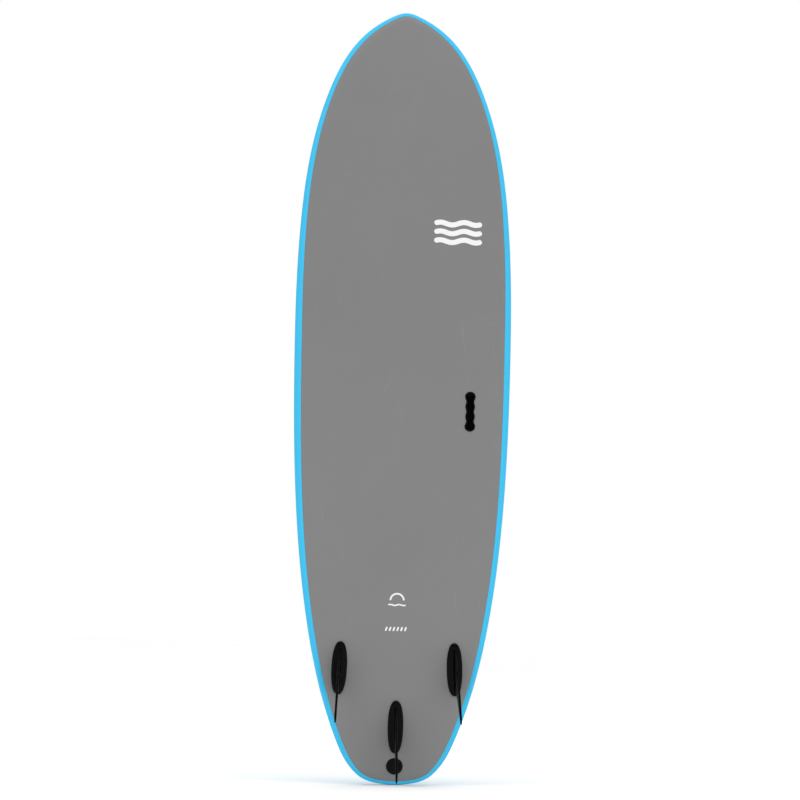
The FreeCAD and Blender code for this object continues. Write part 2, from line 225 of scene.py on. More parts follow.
class Rim:
    """The right half of the board's outline, read from tail to nose."""

    def __init__(self, steps):
        right = [(width, height) for height, width in OUTLINE]
        left = [(-x, z) for x, z in reversed(right)]
        curve = Spline([(0, 0)] + right + [(0, LENGTH)] + left, closed=True)
        nose = curve.stops[len(right) + 1]
        widest = curve.stops[1 + [height for height, _ in OUTLINE].index(WIDEST_Z)]
        at = np.linspace(0, nose, steps + 1)
        self.place, along = curve.read(at)
        self.inward = np.stack([-along[:, 1], along[:, 0]], axis=1)
        self.place[[0, -1], 0] = 0.0
        self.inward[[0, -1], 0] = 0.0
        share = np.where(at < widest, at / widest, (nose - at) / (nose - widest))
        self.bottom_radius = BOTTOM_RADII[0] + (BOTTOM_RADII[1] - BOTTOM_RADII[0]) * share
        self.deck_radius = DECK_RADII[0] + (DECK_RADII[1] - DECK_RADII[0]) * share
        self.border = np.interp(self.place[:, 1], *np.array(BORDER).T)

    def moved(self, inset):
        """x and z of the outline moved inward."""
        spot = self.place + self.inward * np.reshape(inset, (-1, 1))
        return spot[:, 0], spot[:, 1]

    def low(self, inset, gap=0.0):
        return bottom_y(self.moved(inset)[1]) + gap

    def high(self, inset, gap=0.0):
        return deck_y(*self.moved(inset)) - gap

    def corner(self, wall, radius, level, side, steps):
        """Round between the upright wall and the surface level(inset): rows of inset and y."""
        rate = (level(wall + radius + 4) - level(wall + radius)) / 4
        lean = np.sqrt(1 + rate**2)
        base = level(wall + radius) - side * radius * lean
        turn = np.arctan(side * rate)
        rows = []
        for angle in np.linspace(0, 1, steps):
            swing = angle * (np.pi / 2 - turn)
            rows.append((wall + radius * (1 - np.cos(swing)), base + side * radius * np.sin(swing)))
        return rows

    def section(self, wall, bottom_gap, deck_gap, smaller, steps):
        """Edge section from the bottom surface round the wall to the deck surface."""
        bottom = self.corner(
            wall, self.bottom_radius - smaller, lambda inset: self.low(inset, bottom_gap), -1, steps)
        deck = self.corner(
            wall, self.deck_radius - smaller, lambda inset: self.high(inset, deck_gap), 1, steps)
        first, last = bottom[0], deck[0]
        wall_rows = [(first[0], first[1] + (last[1] - first[1]) * s) for s in (0.25, 0.5, 0.75)]
        return bottom[::-1] + wall_rows + deck


# ---------------------------------------------------------------- meshes


def new_piece(name, vertices, faces, material=None, sharp=35.0):
    """Adds a closed mesh, in millimetres, with smooth faces and sharp corners."""
    mesh = bpy.data.meshes.new(name)
    mesh.from_pydata((np.asarray(vertices, float) * MM).tolist(), [], faces)
    work = bmesh.new()
    work.from_mesh(mesh)
    bmesh.ops.remove_doubles(work, verts=work.verts, dist=2e-6)
    bmesh.ops.dissolve_degenerate(work, dist=1e-6, edges=work.edges)
    bmesh.ops.recalc_face_normals(work, faces=work.faces)
    work.to_mesh(mesh)
    work.free()
    mesh.shade_smooth()
    mesh.set_sharp_from_angle(angle=math.radians(sharp))
    if material:
        mesh.materials.append(material)
    piece = bpy.data.objects.new(name, mesh)
    bpy.context.scene.collection.objects.link(piece)
    return piece


def skin(rings, caps=False):
    """Vertices and faces over closed rings with equal counts of points."""
    rings = np.asarray(rings, float)
    rows, count = rings.shape[:2]
    row, col = np.meshgrid(np.arange(rows - 1), np.arange(count), indexing="ij")
    here, there = row * count + col, row * count + (col + 1) % count
    faces = np.stack([here, there, there + count, here + count], axis=-1).reshape(-1, 4).tolist()
    if caps:
        faces.append(list(range(count))[::-1])
        faces.append([(rows - 1) * count + k for k in range(count)])
    return rings.reshape(-1, 3), faces


def loft(name, rings, material=None, caps=False, sharp=35.0):
    """Piece skinned over rings. A ring that collapses to a line or a point closes an end."""
    return new_piece(name, *skin(rings, caps), material, sharp)


def shells(name, parts, material=None, sharp=35.0):
    """One piece of several closed shells, each given as vertices and faces."""
    vertices, faces, start = [], [], 0
    for points, sides in parts:
        vertices.append(points)
        faces += [[start + corner for corner in side] for side in sides]
        start += len(points)
    return new_piece(name, np.vstack(vertices), faces, material, sharp)


def carve(piece, tool, operation="DIFFERENCE", sharp=35.0):
    """Cuts the tool's form out of the piece, or adds it, and removes the tool."""
    change = piece.modifiers.new("carve", "BOOLEAN")
    change.operation = operation
    change.solver = "EXACT"
    change.object = tool
    found = piece.evaluated_get(bpy.context.evaluated_depsgraph_get())
    mesh = bpy.data.meshes.new_from_object(found)
    piece.modifiers.clear()
    old = piece.data
    piece.data = mesh
    bpy.data.meshes.remove(old)
    mesh.name = piece.name
    mesh.set_sharp_from_angle(angle=math.radians(sharp))
    bpy.data.objects.remove(tool)


def settings():
    return bpy.context.scene.surfboard


def settle(piece, slot, *nodes):
    """Lets the piece ride on the board and has it stand for CAD parts. The slot is not used."""
    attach(piece, "root")
    if not nodes:
        return
    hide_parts(*nodes)
    box = np.array(piece.bound_box)
    for node in nodes:
        low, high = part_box(node)
        away = max(np.abs(box.min(axis=0) - low).max(), np.abs(box.max(axis=0) - high).max())
        if away > FIT:
            raise ValueError(f"{piece.name} is {away / MM:.1f} mm away from {node}")


def mirrored(x, y, z):
    """Closed loop of points from the values along the right half."""
    right = np.stack([x, y, z], axis=1)
    left = right[-2:0:-1] * [-1, 1, 1]
    return np.vstack([right, left])


def seat(x, z, toe=0.0):
    """Place on the bottom, in millimetres: local +Y goes into the board and local +Z to the nose."""
    tilt = -math.atan(slope_at(BOTTOM_LINE, z))
    turn = Matrix.Rotation(tilt, 4, "X") @ Matrix.Rotation(math.radians(toe), 4, "Y")
    return Matrix.Translation((x, float(bottom_y(z)), z)) @ turn


def to_board(place, points):
    points = np.asarray(points, float)
    matrix = np.array(place)
    return points @ matrix[:3, :3].T + matrix[:3, 3]


def depth_to_deck(place, z=0.0):
    start = place @ Vector((0, 0, z))
    step = place.to_3x3() @ Vector((0, 1, 0))
    depth = 0.0
    for _ in range(6):
        point = start + step * depth
        depth = (float(deck_y(point.x, point.z)) - start.y) / step.y
    return depth


def deck_lean(place, z, depth):
    """Slopes of the deck across a place's local X and Z, where its axis comes out."""
    spot = place @ Vector((0, depth, z))
    across = -2 * CROWN * spot.x / HALF_WIDTH**2
    normal = place.to_3x3().inverted() @ Vector((-across, 1, -slope_at(DECK_LINE, spot.z)))
    return -normal.x / normal.y, -normal.z / normal.y


def circle_ring(radius, height, count, lean=(0, 0), z=0.0):
    angle = np.linspace(0, 2 * np.pi, count, endpoint=False)
    x, along = radius * np.cos(angle), radius * np.sin(angle)
    return np.stack([x, height + lean[0] * x + lean[1] * along, along + z], axis=1)


def turned(profile, place, lean=(0, 0), z=0.0, count=72):
    """Rings round local Y. A profile row is radius, height and how far it follows the lean."""
    rings = []
    for radius, height, follow in profile:
        ring = circle_ring(radius, height, count, (lean[0] * follow, lean[1] * follow), z)
        rings.append(to_board(place, ring))
    return rings


def drape(place, x, z):
    """Local y of the board's bottom at these local points."""
    y = np.zeros(len(x))
    for _ in range(4):
        spot = to_board(place, np.stack([x, y, z], axis=1))
        y = y + (bottom_y(spot[:, 2]) - spot[:, 1]) / place[1][1]
    return y


def arc(center_r, center_h, radius, start, end, steps, follow=0):
    """Profile rows round a corner; angles in degrees from +radius towards +height."""
    rows = []
    for angle in np.radians(np.linspace(start, end, steps)):
        rows.append((center_r + radius * math.cos(angle), center_h + radius * math.sin(angle), follow))
    return rows


# ---------------------------------------------------------------- sizes and colours


def length(name, description, default):
    """Length property; its default is given in millimetres."""
    return FloatProperty(
        name=name, description=description, default=default * MM, min=0.0, unit="LENGTH", precision=4)


def angle(name, description, default):
    return FloatProperty(
        name=name, description=description, default=math.radians(default), unit="ROTATION", subtype="ANGLE")


def colour(name, description, default):
    return FloatVectorProperty(
        name=name, description=description, default=default, subtype="COLOR", size=3, min=0.0, max=1.0)


class SurfboardSkins(bpy.types.PropertyGroup):
    """Thicknesses and seams of the sheets round the core."""

    rail: length("Rail foam", "Thickness of the foam round the edge", 6.0)
    deck: length("Deck foam", "Thickness of the foam on the deck", 5.0)
    slick: length("Slick", "Thickness of the smooth sheet on the bottom", 1.2)
    backing: length("Backing foam", "Thickness of the foam under the slick", 2.4)
    deck_seam: length("Deck seam", "Distance of the seam on the deck from the edge", 36.0)
    seam_round: length("Seam rounding", "Roundness of the foam's edges along the seams", 0.8)
    steps: IntProperty(
        name="Outline steps", description="Points along half of the outline", default=640, min=60)


class SurfboardFins(bpy.types.PropertyGroup):
    """Form of the three fins."""

    base_length: length("Base length", "Length of the oval base", 147.0)
    base_width: length("Base width", "Width of the oval base", 43.0)
    base_height: length("Base height", "Height of the oval base over the slick", 8.0)
    base_round: length("Base rounding", "Roundness of the base's upper edge", 5.0)
    root_round: length("Root rounding", "Roundness between blade and base", 5.0)
    toe: angle("Toe-in", "Turn of the side fins towards the nose's middle", 1.9)
    cant: angle("Cant", "Outward lean of the side fins' blades", 4.8)
    boss_radius: length("Boss radius", "Radius of the bosses that reach into the board", 8.0)
    boss_depth: length("Boss depth", "Depth of the bosses in the board", 22.0)


class SurfboardFittings(bpy.types.PropertyGroup):
    """Sizes of the screw cups, the screws and the leash plug."""

    cup_flange: length("Cup flange", "Radius of a screw cup's flange", 13.0)
    cup_stem: length("Cup stem", "Radius of a screw cup under its flange", 8.0)
    cup_depth: length("Cup depth", "Depth of a screw cup in the board", 14.0)
    cup_recess: length("Cup recess", "Depth of the recess for the screw head", 8.0)
    proud: length("Flange height", "Height of the flanges over the deck", 0.8)
    head_radius: length("Head radius", "Radius of the screw heads", 5.5)
    head_height: length("Head height", "Height of the screw heads", 3.6)
    plug_disc: length("Plug disc", "Radius of the plug's disc on the bottom", 23.0)
    plug_disc_height: length("Plug disc height", "Height of the plug's disc over the slick", 3.6)
    plug_flange: length("Plug flange", "Radius of the plug's flange on the deck", 21.0)
    plug_depth: length("Plug depth", "Depth of the plug's cup", 18.0)
    bar: length("Bar radius", "Radius of the bar that the leash is tied to", 2.0)


class SurfboardHandle(bpy.types.PropertyGroup):
    """Sizes of the finger tray."""

    rim: length("Rim width", "Width of the rim that lies on the slick", 1.6)
    lip: length("Rim height", "Height of the rim over the slick", 1.6)
    wall: length("Wall", "Thickness of the tray", 2.0)
    depth: length("Depth", "Depth of the tray under the slick", 28.0)
    ridge: length("Ridge height", "Height of the ridges on the tray's floor", 1.4)


class SurfboardColours(bpy.types.PropertyGroup):
    """Colours of the finishes."""

    slick: colour("Slick", "Smooth sheet on the bottom", (0.217, 0.217, 0.217))
    foam: colour("Skin foam", "Foam of the rails and the deck", (0.051, 0.575, 0.93))
    black: colour("Black plastic", "Fins, plug, cups and tray", (0.0016, 0.0016, 0.0017))
    ink: colour("Ink", "Printed marks", (0.86, 0.86, 0.86))
    backing: colour("Backing foam", "Foam under the slick", (0.7, 0.7, 0.7))
    core: colour("Core foam", "Foam beads of the core", (0.9, 0.9, 0.88))
    wood: colour("Plywood", "Stringers", (0.55, 0.38, 0.22))
    brass: colour("Brass", "Threaded inserts", (0.6, 0.45, 0.18))
    steel: colour("Steel", "Screws and the leash bar", (0.6, 0.6, 0.62))


class SurfboardStudio(bpy.types.PropertyGroup):
    """Floor, light and camera."""

    floor: colour("Floor", "Colour of the floor", (0.93, 0.93, 0.93))
    floor_radius: FloatProperty(
        name="Floor radius", description="Radius of the round floor", default=14.0, unit="LENGTH")
    ambient: FloatProperty(name="Ambient", description="Brightness of the even light", default=0.5)
    glints: FloatProperty(name="Glints", description="Brightness that gloss reflects", default=0.12)
    key: FloatProperty(name="Key", description="Power of the two front lights", default=32.0, unit="POWER")
    back: FloatProperty(
        name="Back", description="Power of the light on the deck", default=60.0, unit="POWER")
    top: FloatProperty(name="Top", description="Strength of the even light from above", default=2.0)
    lens: FloatProperty(
        name="Lens", description="Focal length", default=389.8, subtype="DISTANCE_CAMERA")
    distance: FloatProperty(
        name="Distance", description="From the board's middle to the camera", default=23.93, unit="LENGTH")
    azimuth: angle("Azimuth", "Turn of the camera round the board", -3.5)
    roll: angle("Roll", "Turn of the camera about its view", 1.1)


class SurfboardSettings(bpy.types.PropertyGroup):
    """All that a user may change."""

    skins: PointerProperty(type=SurfboardSkins)
    fins: PointerProperty(type=SurfboardFins)
    fittings: PointerProperty(type=SurfboardFittings)
    handle: PointerProperty(type=SurfboardHandle)
    colours: PointerProperty(type=SurfboardColours)
    studio: PointerProperty(type=SurfboardStudio)


def millimetres(group, *names):
    values = [getattr(group, name) / MM for name in names]
    return values if len(values) > 1 else values[0]


# ---------------------------------------------------------------- finishes


class Tree:
    """Adds and joins nodes of one shader tree."""

    def __init__(self, tree):
        self.nodes = tree.nodes
        self.links = tree.links

    def add(self, kind, inputs=None, **settings):
        node = self.nodes.new(kind)
        for name, value in settings.items():
            setattr(node, name, value)
        for name, value in (inputs or {}).items():
            self.feed(node.inputs[name], value)
        return node

    def feed(self, socket, value):
        if isinstance(value, bpy.types.NodeSocket):
            self.links.new(value, socket)
        else:
            socket.default_value = value

    def math(self, operation, first, second=0.0):
        return self.add("ShaderNodeMath", {0: first, 1: second}, operation=operation).outputs[0]

    def mix(self, share, first, second):
        inputs = {0: share, 6: first, 7: second}
        node = self.add("ShaderNodeMix", inputs, data_type="RGBA")
        return node.outputs[2]

    def noise(self, where, scale, detail=2.0, distortion=0.0):
        inputs = {"Vector": where, "Scale": scale, "Detail": detail, "Distortion": distortion}
        return self.add("ShaderNodeTexNoise", inputs).outputs[0]

    def stretch(self, where, scale):
        return self.add("ShaderNodeMapping", {"Vector": where, "Scale": scale}).outputs[0]

    def spread(self, value, low, high, first=0.0, last=1.0):
        inputs = {"Value": value, "From Min": low, "From Max": high, "To Min": first, "To Max": last}
        return self.add("ShaderNodeMapRange", inputs).outputs[0]


SOCKETS = {"value": "NodeSocketFloat", "vector": "NodeSocketVector", "colour": "NodeSocketColor"}


def group(name, takes, gives, fill):
    """Shared node group, built once. takes and gives map socket names to kinds."""
    tree = bpy.data.node_groups.get(name)
    if tree:
        return tree
    tree = bpy.data.node_groups.new(name, "ShaderNodeTree")
    for direction, sockets in (("INPUT", takes), ("OUTPUT", gives)):
        for label, kind in sockets.items():
            tree.interface.new_socket(name=label, in_out=direction, socket_type=SOCKETS[kind])
    work = Tree(tree)
    source = work.add("NodeGroupInput").outputs
    target = work.add("NodeGroupOutput").inputs
    for label, socket in fill(work, source).items():
        work.feed(target[label], socket)
    return tree


def fill_grain(work, source):
    """Fine uneven surface, stretched along an axis for brushed or drawn stock."""
    where = work.add(
        "ShaderNodeVectorMath", {0: source["Place"], 1: source["Stretch"]}, operation="MULTIPLY").outputs[0]
    fine = work.noise(where, source["Scale"], 3.0)
    coarse = work.noise(where, work.math("MULTIPLY", source["Scale"], 0.21), 2.0)
    both = work.math("ADD", work.math("MULTIPLY", fine, 0.65), work.math("MULTIPLY", coarse, 0.35))
    return {"Mask": both, "Height": work.math("MULTIPLY", both, source["Depth"])}


def fill_cells(work, source):
    """Foam cells or beads: round tops with narrow valleys between them, and a mask of the valleys that
    finishes use for painted shade.
    """
    inputs = {"Vector": source["Place"], "Scale": source["Scale"]}
    edge = work.add("ShaderNodeTexVoronoi", inputs, feature="DISTANCE_TO_EDGE").outputs["Distance"]
    cell = work.add("ShaderNodeTexVoronoi", inputs, feature="F1")
    top = work.spread(edge, 0.0, 0.28)
    top.node.interpolation_type = "SMOOTHSTEP"
    tone = work.add("ShaderNodeSeparateColor", {0: cell.outputs["Color"]}).outputs[0]
    # mask of the valleys between the cells, used for painted shade in the colour
    valley = work.math("SUBTRACT", 1.0, top)
    return {"Height": work.math("MULTIPLY", top, source["Depth"]), "Valley": valley, "Tone": tone}


def fill_drift(work, source):
    """Slow change of a colour over the surface."""
    wide = work.noise(source["Place"], source["Scale"], 3.0, 0.4)
    near = work.noise(source["Place"], work.math("MULTIPLY", source["Scale"], 9.0), 2.0)
    both = work.math("ADD", work.math("MULTIPLY", wide, 0.7), work.math("MULTIPLY", near, 0.3))
    low = work.math("SUBTRACT", 1.0, source["Amount"])
    high = work.math("ADD", 1.0, source["Amount"])
    factor = work.spread(both, 0.3, 0.7, low, high)
    scaled = work.add("ShaderNodeVectorMath", {0: source["Colour"], "Scale": factor}, operation="SCALE")
    return {"Colour": scaled.outputs[0], "Mask": both}


def fill_scuffs(work, source):
    """Thin scratches that run mostly along the board, in patches that get more wear."""
    marks = []
    for turn, fine, long in ((0.12, 260.0, 5.0), (-0.35, 330.0, 8.0), (1.1, 240.0, 7.0)):
        inputs = {"Vector": source["Place"], "Rotation": (0.0, turn, 0.0)}
        turned_place = work.add("ShaderNodeMapping", inputs).outputs[0]
        line = work.noise(work.stretch(turned_place, (fine, fine, long)), source["Scale"], 1.0)
        marks.append(work.spread(line, 0.735, 0.78))
    strongest = work.math("MAXIMUM", work.math("MAXIMUM", marks[0], marks[1]), marks[2])
    patch = work.spread(work.noise(source["Place"], 4.5, 3.0), 0.42, 0.66)
    mask = work.math("MULTIPLY", work.math("MULTIPLY", strongest, patch), source["Amount"])
    return {"Mask": mask, "Height": work.math("MULTIPLY", mask, -0.00006)}


def fill_smudges(work, source):
    """Roughness that changes where the surface has been handled."""
    wide = work.noise(source["Place"], source["Scale"], 4.0, 0.8)
    fine = work.noise(source["Place"], work.math("MULTIPLY", source["Scale"], 14.0), 2.0)
    both = work.math("ADD", work.math("MULTIPLY", wide, 0.65), work.math("MULTIPLY", fine, 0.35))
    change = work.spread(both, 0.3, 0.7, -1.0, 1.0)
    change = work.math("MULTIPLY", change, source["Spread"])
    return {"Roughness": work.math("ADD", source["Roughness"], change)}


ROUGHNESS_SPREAD = 0.06


def shared_groups():
    """The effects that several finishes share."""
    value, vector, tint = "value", "vector", "colour"
    place = {"Place": vector}
    return {
        "grain": group(
            "Fine grain", {**place, "Scale": value, "Stretch": vector, "Depth": value},
            {"Mask": value, "Height": value}, fill_grain),
        "cells": group(
            "Foam cells", {**place, "Scale": value, "Depth": value},
            {"Height": value, "Valley": value, "Tone": value}, fill_cells),
        "drift": group(
            "Colour drift", {**place, "Colour": tint, "Amount": value, "Scale": value},
            {"Colour": tint, "Mask": value}, fill_drift),
        "scuffs": group(
            "Scuffs", {**place, "Scale": value, "Amount": value}, {"Mask": value, "Height": value},
            fill_scuffs),
        "smudges": group(
            "Smudges", {**place, "Scale": value, "Spread": value, "Roughness": value}, {"Roughness": value},
            fill_smudges),
    }


def make_finish(
        name, tint, roughness, grain=(900.0, 0.03), stretch=(1.0, 1.0, 1.0), cells=None, valley=0.7,
        drift=(0.04, 3.0), scuffs=0.0, scuff_tint=(0.6, 0.6, 0.6), plies=0.0, **sockets):
    """Material of one finish. Depths are in millimetres; sockets are the shader's own plain values. The
    valley factor darkens the colour between foam cells as painted shade.
    """
    material = bpy.data.materials.get(name)
    if material:
        return material
    shared = shared_groups()
    material = bpy.data.materials.new(name)
    material.use_nodes = True
    tree = Tree(material.node_tree)
    shader = tree.nodes["Principled BSDF"]
    place = tree.add("ShaderNodeTexCoord").outputs["Object"]

    def effect(kind, **inputs):
        node = tree.add("ShaderNodeGroup", node_tree=shared[kind])
        for label, value in {"Place": place, **inputs}.items():
            tree.feed(node.inputs[label], value)
        return node.outputs

    tint = (*tint, 1.0)
    base = effect("drift", Colour=tint, Amount=drift[0], Scale=drift[1])["Colour"]
    smudges = effect("smudges", Scale=drift[1] * 1.7, Spread=ROUGHNESS_SPREAD, Roughness=roughness)
    rough = smudges["Roughness"]
    height = effect("grain", Scale=grain[0], Stretch=stretch, Depth=grain[1] * MM)["Height"]
    if cells:
        foam = effect("cells", Scale=cells[0], Depth=cells[1] * MM)
        # painted shade: the colour is darkened in the valleys between the cells, where the bump already
        # sinks
        shade_tint = tuple(part * valley for part in tint[:3])
        base = tree.mix(foam["Valley"], base, tree.mix(0.75, base, (*shade_tint, 1.0)))
        height = tree.math("ADD", height, foam["Height"])
    if plies:
        inputs = {"Vector": place, "Scale": plies}
        layers = tree.add("ShaderNodeTexWave", inputs, bands_direction="X").outputs[0]
        base = tree.mix(tree.math("MULTIPLY", layers, 0.5), base, (0.2, 0.11, 0.055, 1.0))
        height = tree.math("ADD", height, tree.math("MULTIPLY", layers, 0.0001))
    if scuffs:
        worn = effect("scuffs", Scale=1.0, Amount=scuffs)
        base = tree.mix(worn["Mask"], base, (*scuff_tint, 1.0))
        rough = tree.math("ADD", rough, tree.math("MULTIPLY", worn["Mask"], 0.25))
        height = tree.math("ADD", height, worn["Height"])
    bump = tree.add("ShaderNodeBump", {"Height": height, "Distance": 1.0, "Strength": 1.0}).outputs[0]
    tree.feed(shader.inputs["Base Color"], base)
    tree.feed(shader.inputs["Roughness"], rough)
    tree.feed(shader.inputs["Normal"], bump)
    for label, value in sockets.items():
        shader.inputs[label.replace("_", " ")].default_value = value
    return material


FINISHES = {  # name, colour setting, roughness and the rest of a slot's finish
    "slick": ("Satin polyethylene", "slick", 0.36, dict(
        grain=(380.0, 0.010), drift=(0.022, 2.2), scuffs=0.25, scuff_tint=(0.36, 0.36, 0.37),
        Specular_IOR_Level=0.3)),
    "rail_foam": ("Closed-cell rail foam", "foam", 0.62, dict(
        grain=(240.0, 0.05), cells=(850.0, 0.05), valley=0.82, drift=(0.03, 2.5),
        Specular_IOR_Level=0.22, Sheen_Weight=0.04, Sheen_Roughness=0.5)),
    "deck_foam": ("Embossed deck foam", "foam", 0.66, dict(
        grain=(600.0, 0.04), cells=(330.0, 0.16), valley=0.72, drift=(0.035, 2.0),
        Specular_IOR_Level=0.22, Sheen_Weight=0.05, Sheen_Roughness=0.5)),
    "fin_plastic": ("Moulded fin nylon", "black", 0.34, dict(
        grain=(1300.0, 0.006), drift=(0.15, 6.0), scuffs=0.25, scuff_tint=(0.02, 0.02, 0.02),
        Specular_IOR_Level=0.08)),
    "black_plastic": ("Textured black plastic", "black", 0.46, dict(
        grain=(1700.0, 0.022), drift=(0.15, 8.0), scuffs=0.2, scuff_tint=(0.03, 0.03, 0.03),
        Specular_IOR_Level=0.12)),
    "ink": ("Screen-print ink", "ink", 0.45, dict(
        grain=(1500.0, 0.008), drift=(0.02, 12.0), scuffs=0.35, scuff_tint=(0.5, 0.5, 0.5),
        Specular_IOR_Level=0.3)),
    "backing_foam": ("Backing foam", "backing", 0.75, dict(
        cells=(1400.0, 0.05), valley=0.85, Specular_IOR_Level=0.2)),
    "core_foam": ("Expanded bead foam", "core", 0.7, dict(
        grain=(1200.0, 0.03), cells=(290.0, 0.35), valley=0.8, Specular_IOR_Level=0.25)),
    "plywood": ("Stringer plywood", "wood", 0.6, dict(
        grain=(700.0, 0.05), stretch=(1.0, 1.0, 0.05), drift=(0.18, 14.0), plies=240.0,
        Specular_IOR_Level=0.3)),
    "brass": ("Knurled brass", "brass", 0.32, dict(
        cells=(950.0, 0.12), valley=0.6, drift=(0.08, 60.0), Metallic=1.0)),
    "steel": ("Stainless steel", "steel", 0.28, dict(
        grain=(900.0, 0.01), stretch=(1.0, 0.06, 1.0), drift=(0.05, 50.0), Metallic=1.0)),
}


def finish_of(slot):
    """The finish of a material slot."""
    name, tint, roughness, details = FINISHES[slot]
    return make_finish(name, getattr(settings().colours, tint), roughness, **details)


# ---------------------------------------------------------------- the board's sheets


def edge_points(rim, rows):
    """Points at every step of the rim for rows of inset and y."""
    layers = []
    for inset, y in rows:
        x, z = rim.moved(inset)
        layers.append(np.stack([x, np.broadcast_to(y, x.shape), z], axis=1))
    return np.stack(layers, axis=1)


def rail_section(rim):
    """Closed section of the edge foam, from the slick round the edge to the deck seam and back."""
    group = settings().skins
    rail, deck, slick, backing = millimetres(group, "rail", "deck", "slick", "backing")
    seam, soft = millimetres(group, "deck_seam", "seam_round")
    under = slick + backing
    border = rim.border
    rows = [(border, rim.low(border) + soft)]
    rows.append((border - 0.3 * soft, rim.low(border - 0.3 * soft) + 0.3 * soft))
    rows.append((border - soft, rim.low(border - soft)))
    rows += rim.section(0.0, 0.0, 0.0, 0.0, 11)
    rows.append((seam - soft, rim.high(seam - soft)))
    rows.append((seam - 0.3 * soft, rim.high(seam - 0.3 * soft) - 0.3 * soft))
    rows.append((seam, rim.high(seam) - soft))
    rows.append((seam, rim.high(seam, deck)))
    rows += rim.section(rail, under, deck, rail - 0.5, 7)[::-1]
    rows.append((border, rim.low(border, under)))
    return edge_points(rim, rows)


def sheet_rings(rim, inset, face, back, soft, columns):
    """Closed sheet: from its middle over the face to its rounded edge, and back over the other side."""
    side = np.sign(back(0.0, WIDEST_Z) - face(0.0, WIDEST_Z))
    edge_z = rim.moved(inset)[1]
    low, high = edge_z.min(), edge_z.max()
    middle = low + 150 + (edge_z - low) * (high - low - 300) / (high - low)

    def ring(level, shift, share, sink=0.0):
        x, z = rim.moved(inset + shift)
        x, z = x * (1 - share), z + (middle - z) * share
        return mirrored(x, level(x, z) + side * sink, z)

    rings = [ring(face, soft, share) for share in np.linspace(1, 0, columns)]
    rings.append(ring(face, 0.3 * soft, 0, 0.3 * soft))
    rings.append(ring(face, 0.0, 0, soft))
    rings += [ring(back, 0.0, share) for share in np.linspace(0, 1, columns // 2)]
    return rings


def raised(surface, gap):
    return lambda x, z: surface(x, z) + gap


def flat_bottom(x, z):
    return bottom_y(z) + 0.0 * x


def fin_seats():
    """Name, place and cant of each fin; the side fins point a little towards the nose's middle."""
    toe, cant = settings().fins.toe, settings().fins.cant
    return [
        ("left", seat(-SIDE_FIN_X, SIDE_FIN_Z, math.degrees(toe)), -cant),
        ("right", seat(SIDE_FIN_X, SIDE_FIN_Z, -math.degrees(toe)), cant),
        ("center", seat(0.0, CENTER_FIN_Z), 0.0),
    ]


def screw_axes():
    """Name of each fin screw, its fin's place and its height along the base."""
    for name, place, _ in fin_seats():
        for end, z in (("rear", -BOSS_SPACING / 2), ("front", BOSS_SPACING / 2)):
            yield f"{name}_{end}", place, z


def pin(radius, start, end, place, z=0.0):
    """Plain closed cylinder round local Y."""
    rows = [(0, start, 0), (radius, start, 0), (radius, end, 0), (0, end, 0)]
    return skin(turned(rows, place, z=z, count=64))


def handle_outline(inset, count=320):
    """Scalloped edge of the finger tray, moved inward."""
    right = [(w, z) for z, w in HANDLE_EDGE]
    lower = [(w, -z) for w, z in reversed(right[:-1])]
    half = right + lower
    left = [(-w, -z) for w, z in half[1:-1]]
    curve = Spline(half + left, closed=True)
    place, along = curve.read(np.linspace(0, curve.end, count, endpoint=False))
    return place + np.stack([along[:, 1], -along[:, 0]], axis=1) * inset


def handle_ring(inset, depth, share=0.0):
    """Ring of the tray, drawn in towards its long middle line by share."""
    flat = handle_outline(inset)
    x, z = flat[:, 0] * (1 - share), flat[:, 1] * (1 - 0.12 * share)
    y = np.full(len(x), float(bottom_y(HANDLE_Z)) + depth)
    return np.stack([x + HANDLE_X, y, z + HANDLE_Z], axis=1)


def bottom_openings():
    """Bosses, plug stem and finger tray as one tool that cuts the sheets on the bottom."""
    boss = millimetres(settings().fins, "boss_radius")
    rim = millimetres(settings().handle, "rim")
    parts = [pin(boss + PLAY, -30, 40, place, z) for _, place, z in screw_axes()]
    parts.append(pin(LEASH_STEM + PLAY, -20, 30, seat(0.0, LEASH_Z)))
    tray = [handle_ring(rim - PLAY, depth, share) for depth, share in ((-8, 1), (-8, 0), (40, 0), (40, 1))]
    parts.append(skin(tray))
    return shells("bottom_openings", parts)


def add_rails():
    rim = Rim(settings().skins.steps)
    section = rail_section(rim)
    for name, side in (("left", -1), ("right", 1)):
        piece = loft(f"rail_foam_{name}", section * [side, 1, 1], finish_of("rail_foam"), caps=True)
        settle(piece, "skin_foam", f"rail_{name}")


def add_bottom():
    group = settings().skins
    slick, backing, soft = millimetres(group, "slick", "backing", "seam_round")
    rim = Rim(group.steps)
    rings = sheet_rings(rim, rim.border, flat_bottom, raised(flat_bottom, slick), 0.6 * soft, 12)
    sheet = loft("slick_sheet", rings, finish_of("slick"))
    carve(sheet, bottom_openings())
    settle(sheet, "slick", "bottom_slick")
    rings = sheet_rings(
        rim, rim.border, raised(flat_bottom, slick), raised(flat_bottom, slick + backing), 0.1, 12)
    sheet = loft("backing_sheet", rings, finish_of("backing_foam"))
    carve(sheet, bottom_openings())
    settle(sheet, "backing_foam", "bottom_backing")


